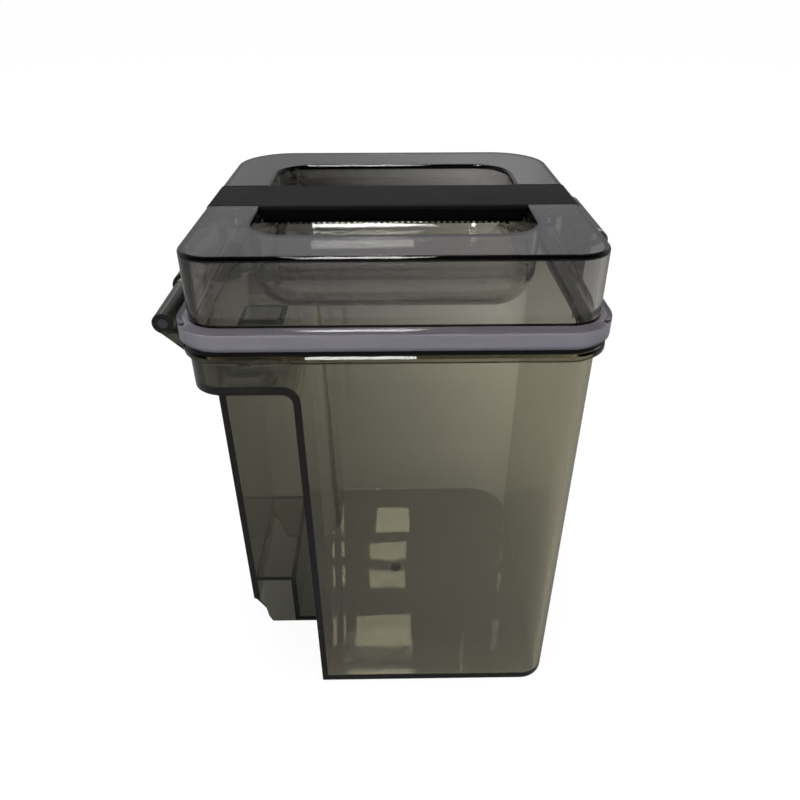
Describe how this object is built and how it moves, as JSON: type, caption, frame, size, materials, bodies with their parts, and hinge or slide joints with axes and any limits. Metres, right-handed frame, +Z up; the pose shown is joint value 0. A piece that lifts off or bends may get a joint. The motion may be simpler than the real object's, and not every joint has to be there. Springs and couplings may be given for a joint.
{
  "type": "robot vacuum dirty water tank",
  "caption": "Smoky clear dirty water tank for a robot vacuum dock, with a hinged latching lid, a recessed hand well under a carrying bar, and docking ports in its corner notches.",
  "frame": {"origin": "middle of the lid's plan, on the underside of the tank's floor", "axes": "+Z up, -X towards the hinge and the docking side, -Y towards the pictured front"},
  "size_m": [0.1903, 0.171, 0.234],
  "materials": {
    "smoke_clear": "polished smoky clear plastic",
    "smoke_dark": "dark smoky clear plastic",
    "seal_rubber": "matt black silicone rubber",
    "pin_plastic": "dark grey smooth plastic",
    "cover_charcoal": "satin charcoal with a fine grain",
    "grip_black": "matt black, ribbed under the grip",
    "screw_steel": "plain steel",
    "latch_grey": "satin dark grey"
  },
  "bodies": {
    "tank": {"tank_body": "smoke_clear", "inlet_elbow": "smoke_dark", "air_elbow": "smoke_dark", "inlet_seal": "seal_rubber", "air_seal": "seal_rubber", "hinge_pin": "pin_plastic"},
    "lid": {"lid_shell": "smoke_clear", "lid_gasket": "seal_rubber", "handle_cover": "cover_charcoal", "handle_base": "grip_black", "handle_screws": "screw_steel", "latch_pin": "screw_steel"},
    "latch": {"latch_flap": "latch_grey"}
  },
  "joints": [
    {"name": "lid_hinge", "type": "hinge", "parent": "tank", "child": "lid", "pos_m": [-0.0925, 0, 0.199], "axis": [0, -1, 0], "range_deg": [0, 100]},
    {"name": "latch_pivot", "type": "hinge", "parent": "lid", "child": "latch", "pos_m": [0.087, 0, 0.2205], "axis": [0, -1, 0], "range_deg": [0, 35]}
  ]
}
